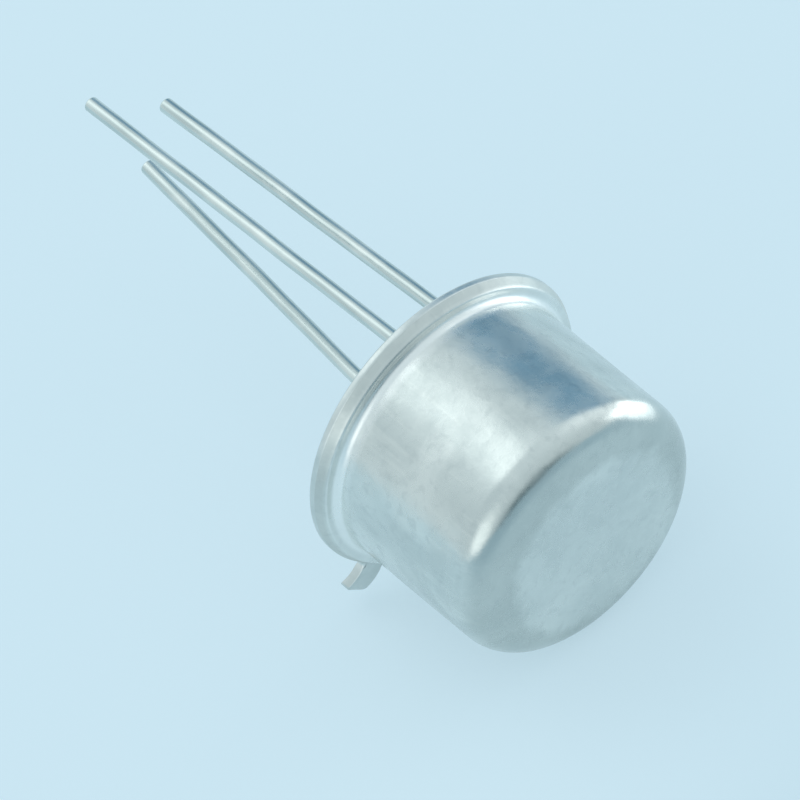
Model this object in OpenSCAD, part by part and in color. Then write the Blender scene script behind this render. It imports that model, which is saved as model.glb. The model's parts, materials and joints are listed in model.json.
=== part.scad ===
// Thyristor in a round metal can with three wire leads.
// Each piece is drawn about the axis of the can: z runs from the seating face
// of the flange to the closed end, and angles start at the tab on the flange.
// at_rest() then lays every piece on its side, as the part lies on a bench.

/* [Cap] */
// Outside diameter of the can
can_d = 8.26; // [7.75:0.05:8.5]
// Height of the can above the seating face
can_h = 6.25; // [6.1:0.05:6.6]
// Outside radius of the corner at the closed end
end_corner_r = 1.0; // [0.7:0.05:1.4]
// Thickness of the drawn sheet
sheet_t = 0.24; // [0.16:0.01:0.3]
// Radius between the wall and the cap's flange
base_fillet_r = 0.25; // [0.15:0.05:0.35]
// Flat lip of the cap's flange beyond that radius
cap_lip = 0.18; // [0.1:0.02:0.26]
// Radius on the edge of the cap's flange
lip_edge_r = 0.07; // [0.03:0.01:0.07]

/* [Header] */
// Thickness of the header's flange and tab
flange_t = 0.3; // [0.25:0.01:0.35]
// Ledge of the header's flange beyond the cap's flange
flange_ledge = 0.13; // [0.05:0.01:0.2]
// Radius on the rim of the header's flange
rim_r = 0.11; // [0.05:0.01:0.12]
// Height of the raised body above the seating face
body_h = 1.15; // [0.9:0.05:1.5]
// Gap between the raised body and the inside of the can
body_gap = 0.25; // [0.1:0.05:0.4]
// Radius on the top edge of the raised body
body_edge_r = 0.15; // [0.05:0.05:0.25]
// Radius of the coined ring groove in the underside
coin_r = 0.12; // [0.06:0.02:0.16]

/* [Tab] */
// Width of the tab
tab_w = 0.8; // [0.72:0.02:0.86]
// Length of the tab beyond the rim
tab_l = 0.97; // [0.74:0.01:1.14]
// Flat part of the tab before its end turns down
tab_flat = 0.15; // [0.05:0.05:0.3]
// How far the end of the tab turns towards the leads
tab_droop = 0.2; // [0.1:0.05:0.3]
// Radius on the outer corners of the tab
tab_corner_r = 0.12; // [0.05:0.01:0.2]
// Radius at the root of the tab
tab_root_r = 0.15; // [0.1:0.05:0.2]

/* [Leads] */
// Diameter of a lead
lead_d = 0.45; // [0.41:0.01:0.53]
// Length of a lead from the seating face
lead_l = 13.9; // [12.7:0.1:19.05]
// Diameter of the circle that the leads stand on
pin_circle_d = 5.08; // [4.8:0.02:5.3]
// Straight stretch of a lead below the seating face
lead_stub = 0.4; // [0.35:0.05:1]
// Radius on which a lead bends away from the axis
lead_bend_r = 6; // [3:0.5:10]
// Bevel on the cut end of a lead
lead_tip_bevel = 0.05; // [0.02:0.01:0.1]
// Height of the two posts above the raised body
post_h = 1.15; // [0.95:0.05:1.5]
// Depth of the socket that holds the anode lead
anode_socket_h = 0.6; // [0.4:0.05:0.75]
// Height of the fillet of braze round the anode lead
braze_leg = 0.3; // [0.15:0.05:0.3]
// Depth of the spot face that the braze fills in the header
braze_sink = 0.06; // [0.03:0.01:0.1]

/* [Lead bends] */
// Angle that the cathode lead leans away from the axis
cathode_lean = 4.95; // [1:0.05:8]
// Angle from the tab to the side that the cathode lead leans to
cathode_lean_way = 168; // [90:1:270]
// Angle that the gate lead leans away from the axis
gate_lean = 2.2; // [1:0.05:8]
// Angle from the tab to the side that the gate lead leans to
gate_lean_way = -25; // [-90:1:90]
// Angle that the anode lead leans away from the axis
anode_lean = 1.85; // [0.5:0.05:8]
// Angle from the tab to the side that the anode lead leans to
anode_lean_way = 16; // [-90:1:90]

/* [Glass seals] */
// Diameter of a glass seal
seal_d = 1.5; // [1.2:0.05:1.6]
// Depth of the hollow that surface tension leaves in the glass
meniscus_h = 0.08; // [0.04:0.01:0.12]
// Depth of the glass below the faces of the header
seal_recess = 0.04; // [0:0.01:0.1]

/* [Pellet and its mount] */
// Diameter of the support plate
plate_d = 3.0; // [2.8:0.1:3.2]
// Thickness of the support plate
plate_t = 0.5; // [0.3:0.05:0.6]
// Rim of solder left round the plate
solder_rim = 0.08; // [0.03:0.01:0.12]
// Thickness of the solder under the plate
plate_solder_t = 0.05; // [0.03:0.01:0.08]
// Thickness of the solder under the pellet
pellet_solder_t = 0.04; // [0.03:0.01:0.06]
// Side of the square pellet
pellet_w = 1.8; // [1.7:0.05:1.9]
// Thickness of the pellet
pellet_t = 0.26; // [0.2:0.02:0.3]
// Width of the step etched round the top of the pellet
mesa_w = 0.1; // [0.06:0.01:0.12]
// Depth of the step etched round the top of the pellet
mesa_h = 0.1; // [0.06:0.01:0.14]
// Thickness of the metal pads on the pellet
pad_t = 0.03; // [0.02:0.01:0.05]
// Border of bare silicon round the pads
pad_border = 0.06; // [0.04:0.01:0.1]
// Side of the square gate pad
gate_pad_w = 0.46; // [0.4:0.02:0.5]
// Gap between the gate pad and the cathode pad
pad_gap = 0.1; // [0.06:0.01:0.12]
// Width of the bead of junction coating
coating_w = 0.28; // [0.2:0.02:0.3]
// Corner radius of the bead of junction coating
coating_corner_r = 0.35; // [0.1:0.05:0.5]

/* [Cathode strap and gate wire] */
// Width of the cathode strap
strap_w = 0.5; // [0.4:0.05:0.55]
// Thickness of the cathode strap
strap_t = 0.12; // [0.08:0.01:0.16]
// Radius on which the strap bends
strap_bend_r = 0.6; // [0.5:0.05:0.8]
// Length of the strap's foot on the pellet
strap_foot = 0.75; // [0.5:0.05:0.8]
// Diameter of the gate wire
wire_d = 0.12; // [0.08:0.01:0.14]
// Angle at which the gate wire rises from its post
wire_rise = 35; // [30:5:45]
// Angle at which the gate wire falls to the pellet
wire_fall = 45; // [40:5:55]
// Radius of the gate wire's bends at its two feet
wire_foot_r = 0.25; // [0.15:0.05:0.3]
// Radius of the gate wire's crown
wire_crown_r = 0.4; // [0.25:0.05:0.5]
// Length of the flattened foot at each end of the wire
wire_foot_l = 0.3; // [0.2:0.02:0.34]
// Width of the flattened foot
wire_foot_w = 0.17; // [0.15:0.01:0.2]
// Height of the gate wire's axis above its seats
wire_foot_t = 0.07; // [0.06:0.01:0.08]

/* [Fits] */
// Clearance between a lead or seal and its hole
seal_gap = 0.01; // [0.005:0.005:0.02]
// Thickness left on the feather edge of a fillet
feather = 0.02; // [0.01:0.01:0.03]
// Height of the tab's lowest corner above the bench, as the part lies
tab_clear = 0.38; // [0.3:0.02:0.6]

/* [Hidden] */
$fn = 96;

// Colours
nickel = [0.76, 0.81, 0.82];
plated_steel = [0.70, 0.74, 0.74];
tinned_wire = [0.66, 0.70, 0.68];
seal_glass = [0.16, 0.26, 0.27];
braze_metal = [0.78, 0.70, 0.52];
soft_solder = [0.60, 0.62, 0.64];
molybdenum = [0.50, 0.50, 0.52];
silicon = [0.24, 0.25, 0.30];
pad_metal = [0.85, 0.85, 0.86];
varnish = [0.72, 0.42, 0.22];

// Angles of the leads, counted from the tab
cathode_angle = 45;
gate_angle = 135;
anode_angle = 225;

// Sizes that follow from the ones above
cut = 1;
can_r = can_d / 2;
base_fillet_z = flange_t + sheet_t + base_fillet_r;
cap_flange_r = can_r + base_fillet_r + cap_lip;
flange_r = cap_flange_r + flange_ledge;
body_r = can_r - sheet_t - body_gap;
coin_ring_r = can_r - sheet_t;
lead_r = lead_d / 2;
braze_r = lead_r + seal_gap + braze_leg;
seal_r = seal_d / 2;
pin_r = pin_circle_d / 2;
post_z = body_h + post_h;
plate_z = body_h + plate_solder_t;
plate_top = plate_z + plate_t;
pellet_z = plate_top + pellet_solder_t;
pellet_top = pellet_z + pellet_t;
pad_top = pellet_top + pad_t;
mesa_side = pellet_w - 2 * mesa_w;
pad_side = mesa_side - 2 * pad_border;

// Tab: its end follows an arc that is tangent to the flange
tab_in = can_r + base_fillet_r;
tab_r = flange_r + tab_l;
tab_bend_x = flange_r + tab_flat;
tab_reach = tab_r - tab_bend_x;
tab_bend_r = (tab_reach * tab_reach + tab_droop * tab_droop) / (2 * tab_droop);
tab_tip_z = sqrt(pow(tab_bend_r + flange_t, 2) - tab_reach * tab_reach) - tab_bend_r;

// At rest the can lies on its rim and its end corner, which dips the closed end
rim_z = flange_t - rim_r;
rest_in = (can_r - end_corner_r) - (flange_r - rim_r);
rest_along = (can_h - end_corner_r) - rim_z;
nose_dip = asin((rim_r - end_corner_r) / norm([rest_in, rest_along])) - atan2(rest_in, rest_along);
seat_height = (flange_r - rim_r) * cos(nose_dip) + rim_z * sin(nose_dip) + rim_r;

// It has rolled until a corner of the tab comes close to the bench
tab_corner_x = tab_r - tab_corner_r;
tab_corner_y = tab_w / 2 - tab_corner_r;
tab_level = seat_height - tab_clear - tab_tip_z * sin(nose_dip);
tab_seat = tab_level / cos(nose_dip) - tab_corner_r;
roll = atan2(tab_corner_y, tab_corner_x) + acos(tab_seat / norm([tab_corner_x, tab_corner_y]));

// Furthest points along the part as it lies
function bent(len, lean) = len - lead_stub - lead_bend_r * lean * PI / 180;
function tip_drop(lean) = lead_stub + lead_bend_r * sin(lean) + bent(lead_l, lean) * cos(lean);
function tip_out(lean) = lead_bend_r * (1 - cos(lean)) + bent(lead_l, lean) * sin(lean);
function tip_down(angle, lean, way) = pin_r * cos(angle - roll) + tip_out(lean) * cos(way - roll);
function tip_x(angle, lean, way) =
    -tip_drop(lean) * cos(nose_dip) - tip_down(angle, lean, way) * sin(nose_dip);
nose_x = (can_h - end_corner_r) * cos(nose_dip) + (can_r - end_corner_r) * sin(nose_dip) + end_corner_r;
tail_x = min(tip_x(cathode_angle, cathode_lean, cathode_lean_way),
    tip_x(gate_angle, gate_lean, gate_lean_way),
    tip_x(anode_angle, anode_lean, anode_lean_way)) - lead_r * sin(nose_dip);

// Lays a piece on its side, with the origin under the middle of the whole part
module at_rest() {
    translate([-(nose_x + tail_x) / 2, 0, seat_height])
        rotate([0, 90 + nose_dip, 0])
            rotate([0, 0, -roll])
                children();
}

// Half section of a round can from height z0 up, with a rounded end corner
module can_section(r, h, corner, z0) {
    translate([0, z0])
        square([r, h - corner - z0]);
    translate([0, z0])
        square([r - corner, h - z0]);
    translate([r - corner, h - corner])
        circle(corner);
}

// Half section of a round plate whose edge is rounded above and below
module plate_section(r, z0, t, edge) {
    translate([0, z0])
        square([r - edge, t]);
    translate([0, z0 + edge])
        square([r, t - 2 * edge]);
    for (z = [z0 + edge, z0 + t - edge])
        translate([r - edge, z])
            circle(edge);
}

// Hollow corner of radius r that joins a wall at x = 0 to a floor at y = 0
module corner_fillet(r) {
    difference() {
        square([r, r]);
        translate([r, r])
            circle(r);
    }
}

// Place on the pin circle, at an angle from the tab
module at_pin(angle) {
    rotate([0, 0, angle])
        translate([pin_r, 0, 0])
            children();
}

// Drawn sheet cap: the inside follows the outside one thickness of sheet away
module cap() {
    color(nickel) at_rest() rotate_extrude() difference() {
        union() {
            can_section(can_r, can_h, end_corner_r, flange_t);
            plate_section(cap_flange_r, flange_t, sheet_t, lip_edge_r);
            translate([can_r, flange_t + sheet_t])
                corner_fillet(base_fillet_r);
        }
        can_section(can_r - sheet_t, can_h - sheet_t, end_corner_r - sheet_t, flange_t - cut);
        difference() {
            translate([0, flange_t - cut])
                square([can_r + base_fillet_r, base_fillet_z - flange_t + cut]);
            translate([can_r + base_fillet_r, base_fillet_z])
                circle(base_fillet_r + sheet_t);
        }
    }
}

// Outline of the tab seen along the can, with rounded corners and a filleted root
module tab_outline() {
    root_y = tab_w / 2 + tab_root_r;
    root_x = sqrt(flange_r * flange_r - root_y * root_y);
    translate([tab_in, -tab_w / 2])
        square([tab_corner_x - tab_in, tab_w]);
    translate([tab_in, -tab_corner_y])
        square([tab_r - tab_in, 2 * tab_corner_y]);
    translate([root_x - rim_r, -root_y])
        square([rim_r, 2 * root_y]);
    for (side = [0, 1])
        mirror([0, side]) {
            translate([tab_corner_x, tab_corner_y])
                circle(tab_corner_r);
            translate([root_x, tab_w / 2])
                corner_fillet(tab_root_r);
        }
}

// The tab, cut from its outline and turned down at the end
module tab() {
    intersection() {
        translate([0, 0, -cut])
            linear_extrude(2 * cut)
                tab_outline();
        rotate([90, 0, 0])
            linear_extrude(2 * tab_w, center = true) {
                translate([tab_in, 0])
                    square([tab_bend_x - tab_in, flange_t]);
                intersection() {
                    translate([tab_bend_x, -tab_bend_r]) difference() {
                        circle(tab_bend_r + flange_t);
                        circle(tab_bend_r);
                    }
                    translate([tab_bend_x, -cut])
                        square([tab_l, 2 * cut]);
                }
            }
    }
}

// Cold-formed header: flange, raised body, tab, two seal holes and the anode's socket and spot face
module header() {
    color(plated_steel) at_rest() difference() {
        union() {
            rotate_extrude() difference() {
                union() {
                    plate_section(flange_r, 0, flange_t, rim_r);
                    can_section(body_r, body_h, body_edge_r, 0);
                }
                translate([coin_ring_r, 0])
                    circle(coin_r);
            }
            tab();
        }
        for (angle = [cathode_angle, gate_angle])
            at_pin(angle) translate([0, 0, -cut])
                cylinder(h = body_h + 2 * cut, r = seal_r);
        at_pin(anode_angle) translate([0, 0, -cut]) {
            cylinder(h = anode_socket_h + cut, r = lead_r + seal_gap);
            cylinder(h = braze_sink + cut, r = braze_r + seal_gap);
        }
    }
}

// Hollow that surface tension leaves in a glass face at height z, below it for dir = -1
module meniscus(z, dir) {
    mid = (seal_r + lead_r) / 2;
    half = (seal_r - lead_r) / 2;
    ball_r = (half * half + meniscus_h * meniscus_h) / (2 * meniscus_h);
    translate([mid, z - dir * (meniscus_h - ball_r)])
        circle(ball_r);
}

// Ring of glass fused between a lead and its hole
module glass_seal(angle) {
    color(seal_glass) at_rest() at_pin(angle) rotate_extrude() difference() {
        translate([lead_r + seal_gap, seal_recess])
            square([seal_r - lead_r - 2 * seal_gap, body_h - 2 * seal_recess]);
        meniscus(body_h - seal_recess, 1);
        meniscus(seal_recess, -1);
    }
}

module cathode_seal() {
    glass_seal(cathode_angle);
}

module gate_seal() {
    glass_seal(gate_angle);
}

// Section of a wire of diameter size, or of a strip of thickness and width size
module section(size) {
    if (is_list(size))
        square(size, center = true);
    else
        circle(d = size);
}

// Straight stretch along x, with what follows at its end
module run(size, len) {
    rotate([0, 90, 0])
        linear_extrude(len)
            section(size);
    translate([len, 0, 0])
        children();
}

// Bend from x towards z, or away from z for a negative angle, with what follows at its end
module bend(size, radius, angle) {
    mirror([0, 0, angle < 0 ? 1 : 0]) {
        translate([0, 0, radius]) rotate([90, 90, 0])
            rotate_extrude(angle = abs(angle))
                translate([radius, 0])
                    section(size);
        translate([radius * sin(abs(angle)), 0, radius * (1 - cos(angle))])
            rotate([0, -abs(angle), 0]) mirror([0, 0, angle < 0 ? 1 : 0])
                children();
    }
}

// Last straight stretch of a lead, with a bevel at its cut end
module lead_end(len) {
    run(lead_d, len - lead_tip_bevel) rotate([0, 90, 0])
        cylinder(h = lead_tip_bevel, r1 = lead_r, r2 = lead_r - lead_tip_bevel);
}

// Lead from a top height down through the header, then bent slightly to one side
module wire_lead(angle, top, lean, way) {
    color(tinned_wire) at_rest() at_pin(angle) rotate([0, 0, way - angle])
        translate([0, 0, top]) rotate([0, 90, 0])
            run(lead_d, top + lead_stub) bend(lead_d, lead_bend_r, lean)
                lead_end(bent(lead_l, lean));
}

module cathode_lead() {
    wire_lead(cathode_angle, post_z, cathode_lean, cathode_lean_way);
}

module gate_lead() {
    wire_lead(gate_angle, post_z, gate_lean, gate_lean_way);
}

module anode_lead() {
    wire_lead(anode_angle, anode_socket_h, anode_lean, anode_lean_way);
}

// Braze that fills the spot face and climbs the anode lead in a hollow fillet
module anode_braze() {
    color(braze_metal) at_rest() at_pin(anode_angle) rotate_extrude() difference() {
        translate([lead_r + seal_gap, -braze_leg])
            square([braze_leg, braze_leg + braze_sink]);
        translate([braze_r + feather, -braze_leg - feather])
            circle(braze_leg);
    }
}

module plate_solder() {
    color(soft_solder) at_rest() translate([0, 0, body_h])
        cylinder(h = plate_solder_t, d = plate_d + 2 * solder_rim);
}

module support_plate() {
    color(molybdenum) at_rest() translate([0, 0, plate_z])
        cylinder(h = plate_t, d = plate_d);
}

// Square sheet at height z, turned so that one corner points at the gate post
module on_pellet(z, t, side) {
    rotate([0, 0, gate_angle - 45]) translate([-side / 2, -side / 2, z])
        cube([side, side, t]);
}

module pellet_solder() {
    color(soft_solder) at_rest()
        on_pellet(plate_top, pellet_solder_t, pellet_w);
}

// Sawn square of silicon with a step etched round its top face
module pellet() {
    color(silicon) at_rest() {
        on_pellet(pellet_z, pellet_t - mesa_h, pellet_w);
        on_pellet(pellet_z, pellet_t, mesa_side);
    }
}

// Corner of the pellet that the gate pad takes, of a given side
module gate_corner(z, t, side) {
    rotate([0, 0, gate_angle - 45]) translate([pad_side / 2 - side, pad_side / 2 - side, z])
        cube([side, side, t]);
}

module cathode_pad() {
    color(pad_metal) at_rest() difference() {
        on_pellet(pellet_top, pad_t, pad_side);
        gate_corner(pellet_top - cut, pad_t + 2 * cut, gate_pad_w + pad_gap);
    }
}

module gate_pad() {
    color(pad_metal) at_rest()
        gate_corner(pellet_top, pad_t, gate_pad_w);
}

// Bead of varnish round the sides of the pellet, standing on the support plate
module junction_coating() {
    outer = pellet_w / 2 + coating_w;
    inner = pellet_w / 2 + seal_gap;
    color(varnish) at_rest() rotate([0, 0, gate_angle - 45]) translate([0, 0, plate_top])
        linear_extrude(pellet_solder_t + pellet_t - mesa_h) difference() {
            union() {
                square([2 * outer, 2 * (outer - coating_corner_r)], center = true);
                square([2 * (outer - coating_corner_r), 2 * outer], center = true);
                for (x = [-1, 1], y = [-1, 1])
                    translate([x * (outer - coating_corner_r), y * (outer - coating_corner_r)])
                        circle(coating_corner_r);
            }
            square(2 * inner, center = true);
        }
}

// Nickel strip: flat on the cathode post, an S bend down, and flat on the cathode pad
module cathode_strap() {
    drop = post_z - pad_top;
    swing = acos(1 - drop / (2 * strap_bend_r));
    foot_x = pad_side / sqrt(2) - strap_w / 2;
    top_len = pin_r + lead_r - foot_x - 2 * strap_bend_r * sin(swing);
    strip = [strap_t, strap_w];
    color(nickel) at_rest() rotate([0, 0, cathode_angle])
        translate([pin_r + lead_r, 0, post_z + strap_t / 2]) rotate([0, 0, 180])
            run(strip, top_len) bend(strip, strap_bend_r, -swing)
                bend(strip, strap_bend_r, swing) run(strip, strap_foot);
}

// Flattened end of the gate wire, centred under its axis
module wire_foot() {
    translate([-wire_foot_l / 2, -wire_foot_w / 2, -wire_foot_t])
        cube([wire_foot_l, wire_foot_w, wire_foot_t]);
}

// Bonded wire: up from the gate post, over a round crown and down to the gate pad
module gate_wire() {
    pad_x = (pad_side - gate_pad_w) / sqrt(2);
    reach = pin_r - pad_x - wire_foot_l - wire_foot_r * (sin(wire_rise) + sin(wire_fall))
        - wire_crown_r * (sin(wire_rise) + sin(wire_fall));
    drop = post_z - pad_top + wire_foot_r * (cos(wire_fall) - cos(wire_rise))
        + wire_crown_r * (cos(wire_fall) - cos(wire_rise));
    up_len = (reach * sin(wire_fall) - drop * cos(wire_fall)) / sin(wire_rise + wire_fall);
    down_len = (reach * sin(wire_rise) + drop * cos(wire_rise)) / sin(wire_rise + wire_fall);
    color(pad_metal) at_rest() rotate([0, 0, gate_angle])
        translate([pin_r, 0, post_z + wire_foot_t]) rotate([0, 0, 180]) {
            wire_foot();
            translate([pin_r - pad_x, 0, pad_top - post_z])
                wire_foot();
            run(wire_d, wire_foot_l / 2) bend(wire_d, wire_foot_r, wire_rise)
                run(wire_d, up_len) bend(wire_d, wire_crown_r, -wire_rise - wire_fall)
                    run(wire_d, down_len) bend(wire_d, wire_foot_r, wire_fall)
                        run(wire_d, wire_foot_l / 2);
        }
}

cap();
header();
cathode_seal();
gate_seal();
cathode_lead();
gate_lead();
anode_lead();
anode_braze();
plate_solder();
support_plate();
pellet_solder();
pellet();
cathode_pad();
gate_pad();
junction_coating();
cathode_strap();
gate_wire();
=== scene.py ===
# %% [markdown]
# # A thyristor in a round metal can
#
# The part is a drawn nickel cap, 8 mm across, welded to a plated steel header with
# a locating tab. Two glass seals and a braze joint hold three tinned wire leads.
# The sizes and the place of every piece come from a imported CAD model, which this
# file calls the frame. Here each visible piece is made again as a fine smooth
# surface, and every piece gets its finish.

import math

import bmesh
import bpy
import numpy as np
from mathutils import Matrix, Vector
from mathutils.geometry import tessellate_polygon
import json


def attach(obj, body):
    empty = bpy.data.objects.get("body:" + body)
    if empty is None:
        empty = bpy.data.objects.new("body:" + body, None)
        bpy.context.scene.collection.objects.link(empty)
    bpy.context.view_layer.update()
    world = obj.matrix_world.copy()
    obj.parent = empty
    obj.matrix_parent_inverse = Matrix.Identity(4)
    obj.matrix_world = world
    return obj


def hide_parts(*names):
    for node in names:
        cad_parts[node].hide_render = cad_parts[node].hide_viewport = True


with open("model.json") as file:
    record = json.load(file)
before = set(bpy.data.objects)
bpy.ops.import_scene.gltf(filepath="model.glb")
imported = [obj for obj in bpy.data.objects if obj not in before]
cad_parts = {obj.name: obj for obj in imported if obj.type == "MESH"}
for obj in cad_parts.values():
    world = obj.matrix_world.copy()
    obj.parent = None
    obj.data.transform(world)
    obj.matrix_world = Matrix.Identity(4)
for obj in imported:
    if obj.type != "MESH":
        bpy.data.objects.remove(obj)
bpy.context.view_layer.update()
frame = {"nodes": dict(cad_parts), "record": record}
scene = bpy.context.scene
print("nodes in the frame:", len(frame["nodes"]))

# %% [markdown]
# ## The can's own axes
#
# The part lies on its side, but a can is easiest to think about standing up.
# Two flat mounts in the record give its axes: one on the closed end, and one on
# the underside of the header, straight across from the tab. From here on, pieces
# are worked out in millimetres with z along the can, x towards the tab, and z = 0
# at the underside of the header. One matrix then lays them down in the frame.

# %% Axes of the can
MM = 0.001
mounts = {mount["name"]: mount for mount in frame["record"]["mounts"]}
end_point = np.array(mounts["end_face"]["pos_m"])
under_point = np.array(mounts["seating_face"]["pos_m"])
axis_z = np.array(mounts["end_face"]["axis"])
axis_z /= np.linalg.norm(axis_z)
can_h = (end_point - under_point) @ axis_z / MM
seat = end_point - axis_z * can_h * MM
axis_x = (seat - under_point) / np.linalg.norm(seat - under_point)
axis_x -= axis_z * (axis_x @ axis_z)
axis_x /= np.linalg.norm(axis_x)
axis_y = np.cross(axis_z, axis_x)
AXES = np.array([axis_x, axis_y, axis_z])


def to_frame(points):
    """Points in millimetres on the can's axes, turned and moved to the frame, in metres."""
    return np.asarray(points) @ AXES * MM + seat


def in_can(node):
    """Corners of a CAD node, in millimetres on the can's axes."""
    mesh = frame["nodes"][node].data
    corners = np.empty(len(mesh.vertices) * 3)
    mesh.vertices.foreach_get("co", corners)
    return (corners.reshape(-1, 3) - seat) @ AXES.T / MM


def radius(points):
    """Distance of each point from the can's axis."""
    return np.hypot(points[:, 0], points[:, 1])


print("can height:", round(can_h, 3), "tab points along", np.round(axis_x, 3))

# %% [markdown]
# ## The camera
#
# The camera comes first, because it decides what shows. A long lens from half a
# metre away keeps the can almost free of perspective. The angles are those of a
# person looking down at the closed end, with the camera leaning a little.

# %% Camera
VIEW_AZIMUTH = math.radians(62.6)
VIEW_ELEVATION = math.radians(46.9)
VIEW_ROLL = math.radians(-18.0)
VIEW_DISTANCE = 0.5
VIEW_LENS = 819
SEAT_RIGHT = 0.00102
SEAT_DOWN = 0.00042


def toward(azimuth, elevation):
    """Unit vector to a place round the object: azimuth 0 is towards -Y, 90 towards +X."""
    level = math.cos(elevation)
    return Vector((math.sin(azimuth) * level, -math.cos(azimuth) * level, math.sin(elevation)))


def placed(name, data):
    """New object in the scene, at the origin."""
    thing = bpy.data.objects.new(name, data)
    scene.collection.objects.link(thing)
    return thing


def make_camera():
    """Camera whose view has the can's seat a little right of and below its middle."""
    back = toward(VIEW_AZIMUTH, VIEW_ELEVATION)
    level_right = Vector((math.cos(VIEW_AZIMUTH), math.sin(VIEW_AZIMUTH), 0))
    lean = Matrix.Rotation(VIEW_ROLL, 3, back)
    right = lean @ level_right
    up = back.cross(right)
    camera = placed("camera", bpy.data.cameras.new("camera"))
    camera.data.lens = VIEW_LENS
    camera.data.clip_start = 0.05
    camera.data.clip_end = 5
    place = Vector(seat) + back * VIEW_DISTANCE - right * SEAT_RIGHT + up * SEAT_DOWN
    turn = Matrix((right, up, back)).transposed()
    camera.matrix_world = Matrix.Translation(place) @ turn.to_4x4()
    scene.camera = camera
    return camera


camera = make_camera()
print("camera at", [round(v, 3) for v in camera.location])

# %% [markdown]
# ## Nodes that work out values
#
# Light and finishes are both worked out by small nodes: one makes a pattern, one
# stretches its values, one blends two colours by them. They could be placed by hand
# in the shader editor. Here each helper makes one node, sets its numbers, links what
# flows in and returns what flows out, so that a finish reads like a recipe.

# %% Helpers for values
def feed(tree, node, inputs):
    """Gives each input of a node what flows out of another node, or else a plain value."""
    for socket, value in inputs.items():
        if isinstance(value, bpy.types.NodeSocket):
            tree.links.new(value, node.inputs[socket])
        else:
            node.inputs[socket].default_value = value


def make_node(tree, kind, inputs, **settings):
    """New node of a kind, with its settings and its inputs."""
    node = tree.nodes.new("ShaderNode" + kind)
    for name, value in settings.items():
        setattr(node, name, value)
    feed(tree, node, inputs)
    return node


def spread(tree, value, low, high, to_low=0, to_high=1, kind="LINEAR"):
    """Stretches values from low..high to to_low..to_high, evenly or by a smooth step, and clips the rest."""
    ends = {"From Min": low, "From Max": high, "To Min": to_low, "To Max": to_high}
    return make_node(tree, "MapRange", {"Value": value, **ends}, interpolation_type=kind).outputs["Result"]


def worked_out(tree, operation, first, second):
    """Result of one operation on two values, such as their sum or the larger one."""
    return make_node(tree, "Math", {0: first, 1: second}, operation=operation).outputs["Value"]


def plus(tree, first, second):
    """Sum of two values."""
    return worked_out(tree, "ADD", first, second)


def times(tree, first, second):
    """Product of two values."""
    return worked_out(tree, "MULTIPLY", first, second)


def along_way(tree, vector, way):
    """How far a vector reaches along a unit vector: their dot product."""
    return make_node(tree, "VectorMath", {0: vector, 1: way}, operation="DOT_PRODUCT").outputs["Value"]


print("helpers for values:", [helper.__name__ for helper in (spread, plus, times, along_way)])

# %% Helpers for colours and patterns
def blend(tree, share, first, second, kind="MIX"):
    """Colour that goes from first to second as share goes from 0 to 1.

    With ADD it goes to the sum of the two instead, and with MULTIPLY to their product.
    """
    first, second = ((*colour, 1) if isinstance(colour, tuple) else colour for colour in (first, second))
    node = make_node(tree, "Mix", {}, data_type="RGBA", blend_type=kind, clamp_factor=False)
    feed(tree, node, {"Factor": share, "A": first, "B": second})
    return node.outputs["Result"]


def noise(tree, vector, scale, detail=3.0, distortion=0.0):
    """Cloudy pattern with about that many clouds in each unit of length."""
    look = {"Scale": scale, "Detail": detail, "Distortion": distortion}
    return make_node(tree, "TexNoise", {"Vector": vector, **look}).outputs["Fac"]


print("helpers for looks:", [helper.__name__ for helper in (blend, noise)])

# %% [markdown]
# ## Studio light
#
# Metal shows its surroundings, so the light is half of its look. A pale tent is
# painted on the world by direction: an even cool white, and on it soft round glows
# where lamps shine through the cloth. A glow of negative strength is a place where
# something dim stands behind the cloth, and such places draw the dark bands on a
# round wall. One small white card on the floor gives the bright patch on the corner
# of the can. Only shiny surfaces show it, so the floor stays even. Lamps could give
# the glows too, but painted ones are softer and leave no grain.

# %% World
TENT = (0.68, 0.797, 0.848)
# Each glow has its azimuth, elevation and radius in degrees, its strength and its tint.
GLOWS = [
    (-66, 60, 22, 0.40, (0.95, 1.0, 0.98)),
    (-75, 36, 36, 0.44, (0.97, 1.0, 1.0)),
    (170, 38, 30, 0.22, (1.0, 1.0, 1.0)),
    (24, 14, 28, 0.62, (0.98, 1.0, 0.96)),
    (-148, 28, 31, -0.50, (1.0, 0.90, 0.70)),
    (86, -6, 36, -0.70, (0.88, 0.95, 0.98)),
]


def paint_world():
    """World whose colour is the tent's plus the glows, each fading from its middle to its edge."""
    world = bpy.data.worlds.new("tent")
    scene.world = world
    world.use_nodes = True
    tree = world.node_tree
    tree.nodes.clear()
    way = make_node(tree, "TexCoord", {}).outputs["Generated"]
    total = TENT
    for azimuth, elevation, glow_radius, strength, tint in GLOWS:
        centre = toward(math.radians(azimuth), math.radians(elevation))
        edge = math.cos(math.radians(glow_radius))
        fade = spread(tree, along_way(tree, way, centre), edge, 1, 0, strength, "SMOOTHSTEP")
        total = blend(tree, fade, total, tint, "ADD")
    sky = make_node(tree, "Background", {"Color": total})
    make_node(tree, "OutputWorld", {"Surface": sky.outputs["Background"]})


paint_world()
scene.view_settings.view_transform = "Standard"
print("glows on the tent:", len(GLOWS))

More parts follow.
